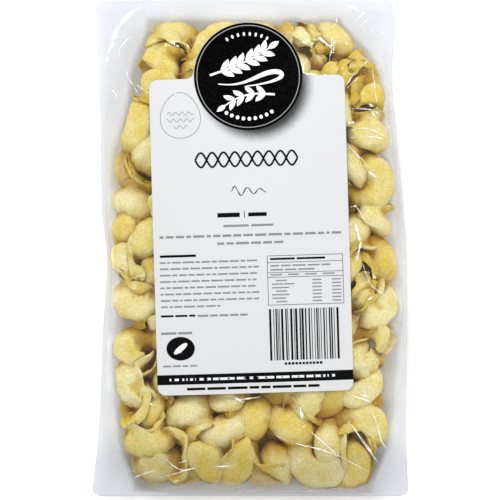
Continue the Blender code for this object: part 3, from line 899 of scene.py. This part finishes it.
def cutInBands(shape, size, halfWidth, low, high):
    cuts = [((x, 0, 0), (1, 0, 0)) for x in np.arange(-halfWidth + size, halfWidth, size)]
    cuts += [((0, y, 0), (0, 1, 0)) for y in np.arange(low + size, high, size)]
    for place, normal in cuts:
        geometry = shape.verts[:] + shape.edges[:] + shape.faces[:]
        bmesh.ops.bisect_plane(shape, geom=geometry, plane_co=place, plane_no=normal, dist=1e-5)


def laidOnPillow(shape, name, sink):
    # Gives a flat shape its thickness, then lays it on the label's surface. z is the height above that.
    lifted = bmesh.ops.extrude_face_region(shape, geom=shape.faces[:])
    for item in lifted["geom"]:
        if isinstance(item, bmesh.types.BMVert):
            item.co.z -= sink
    for point in shape.verts:
        x, y = fromLabel(point.co.x, point.co.y)
        point.co = Vector((x, y, float(labelHeight(x, y)) + point.co.z)) * mm
    bmesh.ops.recalc_face_normals(shape, faces=shape.faces[:])
    bmesh.ops.triangulate(shape, faces=[face for face in shape.faces if len(face.verts) > 4])
    mesh = meshOf(shape, name)
    mesh.set_sharp_from_angle(angle=math.radians(label["sharp"]))
    return mesh


def addLabel():
    shape = bmesh.new()
    outline = [shape.verts.new((*point, 0)) for point in labelOutline()]
    shape.faces.new(outline)
    cutInBands(shape, label["cut"], label["width"] / 2, -label["length"] / 2, badge["along"] + label["lobe"])
    mesh = laidOnPillow(shape, "label", label["thickness"])
    addPiece("label_sheet", mesh, labelPaper(), "label_paper", "label")
    print("label,", len(mesh.polygons), "faces")


# The print, as thin layers of ink
inkLayer = {"rise": 0.05, "sink": 0.1, "step": 4.0}


def addBar(shape, across, along, width, height):
    columns, rows = (max(1, math.ceil(size / inkLayer["step"])) for size in (width, height))
    made = bmesh.ops.create_grid(shape, x_segments=columns, y_segments=rows, size=0.5)
    for point in made["verts"]:
        point.co = Vector((across + point.co.x * width, along + point.co.y * height, inkLayer["rise"]))


def addStroke(shape, points, width, rise=inkLayer["rise"]):
    # A line of ink: one short edge across its start, drawn along its route
    route = [Vector((*point, rise)) for point in points]
    before = None
    for index, place in enumerate(route):
        ahead = route[min(index + 1, len(route) - 1)] - route[max(index - 1, 0)]
        aside = Vector((-ahead.y, ahead.x, 0)).normalized()
        wide = width(index / (len(route) - 1)) if callable(width) else width
        ends = (place + aside * wide / 2, place - aside * wide / 2)
        if before is None:
            verts = [shape.verts.new(end) for end in ends]
            before = shape.edges.new(verts)
            continue
        grown = bmesh.ops.extrude_edge_only(shape, edges=[before])["geom"]
        before = next(item for item in grown if isinstance(item, bmesh.types.BMEdge))
        fresh = [item for item in grown if isinstance(item, bmesh.types.BMVert)]
        order = sorted(fresh, key=lambda vert: (vert.co - ends[0]).length - (vert.co - ends[1]).length)
        order[0].co, order[1].co = ends


def addDisc(shape, across, along, radiusX, radiusY, turn, steps, rise=inkLayer["rise"]):
    made = bmesh.ops.create_circle(shape, cap_ends=True, segments=steps, radius=1.0)
    c, s = math.cos(math.radians(turn)), math.sin(math.radians(turn))
    for point in made["verts"]:
        px, py = point.co.x * radiusX, point.co.y * radiusY
        point.co = Vector((across + px * c - py * s, along + px * s + py * c, rise))


def addInk(name, shape, material):
    mesh = laidOnPillow(shape, name, inkLayer["sink"])
    addPiece(name, mesh, material, "label_paper")
    print(name, len(mesh.polygons), "faces")


def smoothRoute(points, rounds, count=None):
    # A route through a few points at even steps, its corners rounded again and again
    places = np.array(points, float)
    lengths = np.concatenate([[0], np.cumsum(np.hypot(*np.diff(places, axis=0).T))])
    samples = np.linspace(0, lengths[-1], count or max(8, int(lengths[-1] / creases["step"])))
    route = np.stack([np.interp(samples, lengths, places[:, axis]) for axis in (0, 1)], -1)
    for _ in range(rounds):
        route[1:-1] = (route[:-2] + 2 * route[1:-1] + route[2:]) / 4
    return route


def addEar(shape, points, pairs, grain, rise):
    # An ear of grain: a stem with pairs of pointed grains and one at its tip
    stem = smoothRoute(points, 40, 40)
    addStroke(shape, stem, lambda share: 1.1 - 0.5 * share, rise)
    for pair in range(pairs + 1):
        index = int(len(stem) * (0.22 + 0.76 * pair / pairs)) - 1
        before, here = stem[max(index - 2, 0)], stem[index]
        lean = math.atan2(here[1] - before[1], here[0] - before[0])
        for side in (0,) if pair == pairs else (-1, 1):
            turn = lean + side * 0.62
            start = here + 0.8 * side * np.array((-math.sin(lean), math.cos(lean)))
            bend = 0.1 * grain * side
            petal = [
                start + grain * share * np.array((math.cos(turn), math.sin(turn)))
                - bend * math.sin(math.pi * share) * np.array((-math.sin(turn), math.cos(turn)))
                for share in np.linspace(0, 1, 9)
            ]
            addStroke(
                shape, petal, lambda share: 0.15 + 0.42 * grain * math.sin(math.pi * share) ** 0.9, rise,
            )


def addBadge():
    black, white = bmesh.new(), bmesh.new()
    x, y = badge["across"], badge["along"]
    outline = arc((x, y), badge["radius"] - badge["inset"], 0, 360, 96)[:-1]
    black.faces.new([black.verts.new((*point, inkLayer["rise"])) for point in outline])
    cutInBands(black, label["cut"], badge["radius"] + x, y - badge["radius"], y + badge["radius"])
    addInk("print_badge", black, printedInk("black flexo ink, varnished", "#030303", 0.33))
    over = inkLayer["rise"] * 2
    ring = bmesh.new()
    addStroke(ring, arc((x, y), badge["ring"], 0, 360, 120), badge["ringWidth"], over)
    addInk("print_badge_ring", ring, printedInk("light grey flexo ink", "#9A9A9A", 0.4))
    addEar(white, ((x - 19, y + 1), (x - 8, y + 4.5), (x + 4, y + 9.5), (x + 11, y + 14)), 6, 6.6, over)
    addEar(white, ((x + 13, y - 9.5), (x + 2, y - 8.5), (x - 7, y - 11), (x - 12, y - 14.5)), 4, 5.6, over)
    swash = smoothRoute((
        (x - 15, y - 3.5), (x - 8, y - 5), (x + 2, y - 2), (x + 10, y + 2.5), (x + 18, y + 3),
        (x + 20, y - 1), (x + 14, y - 2.5), (x + 6, y - 4.5), (x - 1, y - 5),
    ), 70, 70)
    addStroke(white, swash, lambda share: 0.5 + 1.9 * math.sin(math.pi * share) ** 2, over)
    for angle in (*range(62, 119, 8), *range(238, 303, 8)):
        across = x + badge["dots"] * math.cos(math.radians(angle))
        along = y + badge["dots"] * math.sin(math.radians(angle))
        addDisc(white, across, along, 0.6 if angle < 180 else 0.9, 1.0, angle - 90, 10, over)
    addInk("print_badge_white", white, printedInk("white flexo ink", "#E9E9E9", 0.4))


# Print on the sheet. A line of words has its ink, left end, right end, height up the label, size, shortest
# and longest word, and the gap between words. A bar has its middle across and along, its width and height.
printed = {
    "seed": 3,
    "inks": {
        "dark": ("dark grey flexo ink", "#0D0D0E", 0.4), "grey": ("mid grey flexo ink", "#7E7F82", 0.45),
        "light": ("light flexo ink", "#DADADA", 0.45),
    },
    "heading": (
        ("dark", -16.5, -4.5, 10.2, 2.2, 11, 12, 0.9), ("dark", -1.2, 17.5, 10.2, 1.9, 8, 13, 1.6),
        ("grey", -13.7, 16.9, 4.8, 1.1, 7, 14, 1.2), ("grey", -45.7, 44.8, 0, 1.2, 1.5, 7, 1.1),
        ("grey", -17, 15.9, -3.9, 1.2, 2, 7, 1.1), ("dark", -45.8, -27, -9.5, 1.2, 18, 19, 0.9),
    ),
    "notes": (
        ("dark", -46.2, -29, -39.3, 1.0, 3, 7, 0.9), ("grey", -28, 0.1, -39.5, 1.0, 3, 6, 0.9),
        ("grey", -46.4, -30.5, -47.9, 1.2, 6, 9, 0.9), ("grey", -45.9, -27.5, -64.3, 0.85, 2.5, 5, 0.9),
    ),
    "table": (
        ("dark", 9, 41, -12.3, 1.0, 10, 16, 0.9), ("grey", 9, 39, -15.7, 0.8, 4, 9, 0.9),
        ("grey", 9, 31, -17.7, 0.8, 5, 9, 0.9), ("grey", 9, 45, -20.2, 0.7, 5, 8, 3),
    ),
    "foot": (
        ("dark", 14.8, 34.2, -64.5, 1.2, 1.0, 1.4, 0.5), ("light", -42.8, 42.2, -71.1, 1.2, 3, 12, 1.1),
        ("dark", -34.3, 33.6, -75.9, 1.3, 4, 10, 1.0),
    ),
    # divider in the middle, the table's lines, and the dark band
    "bars": (
        (-3.1, 10.3, 0.35, 3.6),
        *((26.4, along, 37.7, 0.24) for along in (-10.7, -14.0, -19.1, -21.4, -35.2)),
        *((across, -22.95, 0.24, 24.6) for across in (7.6, 45.2)),
        (-0.1, -71.1, 97.8, 4.95),
    ),
    "barWidths": (0.35, 0.7, 1.05),
}


def words(shape, draw, left, right, along, height, shortest, longest, gap):
    # A line of print, as bars the length of words
    across = left
    while across < right - shortest:
        length = min(draw.uniform(shortest, longest), right - across)
        addBar(shape, across + length / 2, along, length, height)
        across += length + gap


def addPrint():
    draw = np.random.default_rng(printed["seed"])
    shapes = {name: bmesh.new() for name in printed["inks"]}
    dark, grey, light = shapes.values()

    def addLines(group):
        for ink, *line in printed[group]:
            words(shapes[ink], draw, *line)

    # Braided ornament where the label has its heading, and a flourish under it
    for phase, layers in ((0, 1), (math.pi, 1.6)):
        braid = [
            (-1.3 + 51 * (t - 0.5), 37.9 + 3.6 * math.sin(phase + 9 * math.pi * t))
            for t in np.linspace(0, 1, 150)
        ]
        addStroke(dark, braid, 0.95, inkLayer["rise"] * layers)
    flourish = [
        (-0.6 + 17 * (t - 0.5), 21.9 + 2.6 * math.sin(17 * t) * (1 - 0.7 * t)) for t in np.linspace(0, 1, 90)
    ]
    addStroke(dark, flourish, lambda share: 0.3 + 0.25 * math.sin(20 * share) ** 2)
    addLines("heading")
    for line in range(8):    # the block of small lines, the last one short
        end = -16.4 if line == 7 else 4.4 + draw.uniform(-3, 0)
        words(grey, draw, -46, end, -12.7 - 3.15 * line, 0.85, 1.2, 6, 0.8)
    addLines("notes")
    # Round mark with a pale grain on it
    addDisc(dark, -36.8, -55.6, 7.1, 5.9, 0, 32)
    addDisc(light, -36.8, -55.6, 4.2, 1.4, 38, 20, inkLayer["rise"] * 2)
    addLines("table")
    for line in range(7):    # the table's rows, with two columns of figures
        level = -23.1 - 1.75 * line
        words(grey, draw, 9.5 + 2 * (line % 3 == 0), 19 + draw.uniform(-3, 2), level, 0.65, 5, 9, 0.5)
        addBar(grey, 32, level, 4.6, 0.65)
        addBar(grey, 41.8, level, 4.6, 0.65)
    # Row of bars of varied widths
    across = 7.7
    while across < 41.6:
        wide = draw.choice(printed["barWidths"])
        addBar(dark, across + wide / 2, -50, wide, 25.6)
        across += wide + draw.choice(printed["barWidths"])
    addLines("foot")
    for bar in printed["bars"]:
        addBar(dark, *bar)
    # Egg-shaped outline with short wavy lines in it
    egg = [
        (-33.6 + (9.9 - 1.6 * math.sin(a)) * math.cos(a), 60.6 + 11.4 * math.sin(a))
        for a in np.linspace(0.6 * math.pi, 2.56 * math.pi, 73)
    ]
    addStroke(grey, egg, 0.3)
    for line, wide in enumerate((13, 14, 7)):
        route = [
            (-33.6 + wide * (t - 0.5), 61.5 - 3.4 * line + 0.8 * math.sin(1.9 * wide * t + line))
            for t in np.linspace(0, 1, 60)
        ]
        addStroke(grey, route, 0.28)
    for name, shape in shapes.items():
        addInk("print_" + name, shape, printedInk(*printed["inks"][name]))


# Creases in the film, with painted white highlights along their ridges
creases = {
    "width": 1.1, "rise": 0.3, "foot": 0.03, "step": 0.7, "rounding": 6, "patchStrength": 1.5, "seed": 5,
    "routes": (
        ((49, 58), (53.5, 59.5), (57.5, 60), (62.5, 58.5), (68, 55.5)),
        ((49, 55), (56, 55.5), (62.5, 55.5), (68, 54)),
        ((48, 52.5), (50.5, 49.5), (53.5, 46.5), (56, 44), (58, 42.5), (59, 39)),
        ((47.8, 80.7), (51.5, 86.5), (56.4, 91.3), (60, 95)),
        ((47.8, 79.3), (53.5, 84.5), (56.4, 87.9)),
        ((61, 91.5), (62, 84.5), (62.5, 79.8), (63.5, 71.5)),
        ((48.7, 69.3), (53.5, 69.7), (60.7, 69.2), (66, 66.5)),
        ((41, 106), (40.6, 99), (39.4, 92)),
        ((43, 116), (43.9, 113.3), (41.5, 110)),
        ((58.2, 118.5), (55, 115.8), (52, 112.5)),
        ((62.5, 118), (56.8, 112.8), (54.5, 110)),
        ((56.4, 112.3), (57, 109.5), (58.3, 107)),
        ((67.9, 109.5), (66, 107), (63.8, 105.3)),
        ((62, 110.5), (61, 109), (59.7, 107.5)),
        ((-66, 95), (-65.5, 99.5), (-63.5, 103), (-58.5, 107)),
        ((-62.5, 90), (-61, 85.5), (-58.5, 81.5), (-55, 75.5)),
        ((-57, 82), (-53.5, 79), (-49, 76.5)),
        ((-70, 80), (-66.5, 76.5), (-66.5, 74), (-69, 73.5)),
        ((-12.6, -76.3), (-7, -75.8), (-1.7, -75.2), (6.3, -74)),
        ((8.6, -91.8), (19.5, -96.4), (26, -98.5), (35, -100.5), (48, -105.5)),
        ((26.5, -88), (34, -95), (43, -103), (52, -108), (60.5, -113)),
        ((45.5, -83.5), (52, -90), (58, -99.5), (65, -109)),
        ((54, -92), (58.5, -99), (63, -106), (66, -109.5)),
        ((60, -80), (63.5, -88), (66, -97.5), (70.5, -103)),
        ((46, -70.5), (51, -74), (58.5, -76), (62.5, -79.5)),
        ((-42.5, -105), (-38.5, -109), (-34.4, -111.3), (-30, -110.6), (-26.4, -109.6)),
        ((-60, -116), (-53, -113), (-46.5, -111)),
        ((-44.7, -114.8), (-37.9, -113), (-32.7, -111.3), (-26.4, -109.5)),
        ((-36, -107.5), (-31, -106)), ((-39, -117), (-35.5, -116.3)),
        ((-18, -109.5), (-12, -109), (-6, -108.5)),
        ((56, -7), (58, -13), (60, -18.5), (64, -21.5), (67.5, -23.5)),
        ((52, 22), (55, 18), (57, 13.5), (60, 10)),
    ),
    # Painted highlights: short, wide white patches where several folds meet: from, to, width
    "patches": (
        ((34, 105.5), (41, 100), 2.2), ((42.5, 104.5), (41.5, 98), 1.4), ((59.5, 72), (62, 70.5), 2.2),
        ((61, 68.5), (62.3, 66), 1.4), ((48.6, 62.3), (52.4, 62.8), 2.0), ((24.8, -79), (26.5, -86), 2.4),
        ((55, -73.4), (59, -74.2), 1.8), ((-8, -74.4), (-2, -77.4), 1.6), ((-50, -77), (-48.6, -79), 1.4),
        ((58.8, 38.5), (63.5, 34.6), 2.6), ((52.5, 12), (55, 3), 3.0), ((55.5, 3.5), (53, -7), 2.4),
        ((50, 20.5), (53.5, 21), 1.4), ((61, -13), (63, -15.5), 1.6), ((58.5, -26), (62, -24), 1.6),
        ((-50.5, 75), (-48.5, 73), 1.6), ((27.5, -88.5), (26, -90), 1.0), ((47, 103.5), (49, 101.5), 1.2),
    ),
}


def filmAt(sheet, places):
    x, y, front = sheet
    down = (places[:, 1] - pouch["bottom"]) / (pouch["top"] - pouch["bottom"]) * film["rows"]
    row = np.clip(down.astype(int), 0, film["rows"] - 1)
    left, right = x[row, 0], x[row, -1]
    over = (places[:, 0] - left) / (right - left) * film["columns"]
    column = np.clip(over.astype(int), 0, film["columns"] - 1)
    a, b = (down - row), (over - column)
    low = front[row, column] * (1 - b) + front[row, column + 1] * b
    high = front[row + 1, column] * (1 - b) + front[row + 1, column + 1] * b
    return low * (1 - a) + high * a


def addFold(shape, layer, sheet, route, width, strength, draw):
    # A low tent of film along the route, closed underneath and pointed at both ends. Its ridge carries a
    # painted white highlight, and its feet are clear.
    steps = len(route) - 1
    ahead = np.gradient(route, axis=0)
    aside = np.stack([-ahead[:, 1], ahead[:, 0]], -1) / np.maximum(np.hypot(*ahead.T), 1e-6)[:, None]
    share = np.linspace(0, 1, steps + 1)
    phase = draw.uniform(0, 6.28, 3)
    uneven = 0.75 + 0.3 * np.sin(9 * share + phase[0]) + 0.2 * np.sin(23 * share + phase[1])
    wide = width * np.clip(uneven, 0.3, 1.2) * np.sqrt(np.clip(4 * share * (1 - share), 0, 1))
    white = strength * (0.7 + 0.3 * np.sin(6 * share + phase[2]))
    white = white * np.clip(8 * np.minimum(share, 1 - share), 0, 1)
    feet = (route + aside * wide[:, None] / 2, route, route - aside * wide[:, None] / 2)
    heights = [filmAt(sheet, places) for places in feet]
    rise = (creases["foot"], creases["rise"], creases["foot"])
    made = bmesh.ops.create_grid(shape, x_segments=steps, y_segments=3, size=0.5)
    for point in made["verts"]:
        step, side = round((point.co.x + 0.5) * steps), round((point.co.y + 0.5) * 3) % 3
        height = heights[side][step] + rise[side] * (wide[step] > 0)
        point.co = (*feet[side][step], height)
        point[layer] = white[step] if side == 1 else 0.0


def addCreases(sheet):
    shape = bmesh.new()
    layer = shape.verts.layers.float.new("fold")
    draw = np.random.default_rng(creases["seed"])
    for points in creases["routes"]:
        addFold(shape, layer, sheet, smoothRoute(points, creases["rounding"]), creases["width"], 1.0, draw)
    for start, end, width in creases["patches"]:
        route = smoothRoute((start, end), creases["rounding"])
        addFold(shape, layer, sheet, route, width, creases["patchStrength"], draw)
    bmesh.ops.remove_doubles(shape, verts=shape.verts[:], dist=1e-4)
    bmesh.ops.recalc_face_normals(shape, faces=shape.faces[:])
    bmesh.ops.scale(shape, vec=(mm, mm, mm), verts=shape.verts[:])
    mesh = meshOf(shape, "creases")
    addPiece("film_creases", mesh, foldHighlightFilm(), "filled_film")
    print("creases,", len(mesh.polygons), "faces")


# Studio
studio = {
    "floor": 6.0, "world": 0.88, "mirrored": 0.25,
    # name, place in metres, size in metres, watts
    "lights": (
        ("key", (-0.6, 1.95, 2.0), 1.3, 42.5),
        ("right", (1.3, 0.2, 1.0), 0.8, 8.5),
        ("left", (-1.3, -0.2, 1.1), 0.8, 4.2),
        ("sparkLeft", (-0.45, 0.55, 1.5), 0.07, 2.2),
        ("sparkTop", (0.35, 0.8, 1.3), 0.07, 2.2),
    ),
}


def addStudio():
    shape = bmesh.new()
    bmesh.ops.create_grid(shape, x_segments=1, y_segments=1, size=studio["floor"])
    mesh = meshOf(shape, "floor")
    mesh.materials.append(paintedFloor())
    addObject("floor", mesh)
    world = bpy.data.worlds.new("studio")
    world.use_nodes = True
    sky = world.node_tree.nodes["Background"]
    sky.inputs["Color"].default_value = srgb("#FFFFFF")
    # A dark ceiling: what the film mirrors is darker than what lights it
    mirrored = addNode(world.node_tree, "LightPath", output="Is Glossy Ray")
    strength = addNode(world.node_tree, "MapRange", {
        "Value": mirrored, "To Min": studio["world"], "To Max": studio["mirrored"],
    })
    world.node_tree.links.new(strength, sky.inputs["Strength"])
    bpy.context.scene.world = world
    bpy.context.scene.view_settings.view_transform = "Standard"
    for name, place, size, watts in studio["lights"]:
        data = bpy.data.lights.new(name, "AREA")
        data.shape = "DISK"
        data.size = size
        data.energy = watts
        light = addObject(name, data)
        light.location = place
        light.rotation_euler = (-Vector(place)).to_track_quat("-Z", "Y").to_euler()
        # The small lights are only for the film's glints, and the large ones make none
        spark = name.startswith("spark")
        light.visible_diffuse, light.visible_glossy = not spark, spark


addCamera()
addCreases(addFilm(addTortellini()))
addLabel()
addBadge()
addPrint()
addStudio()
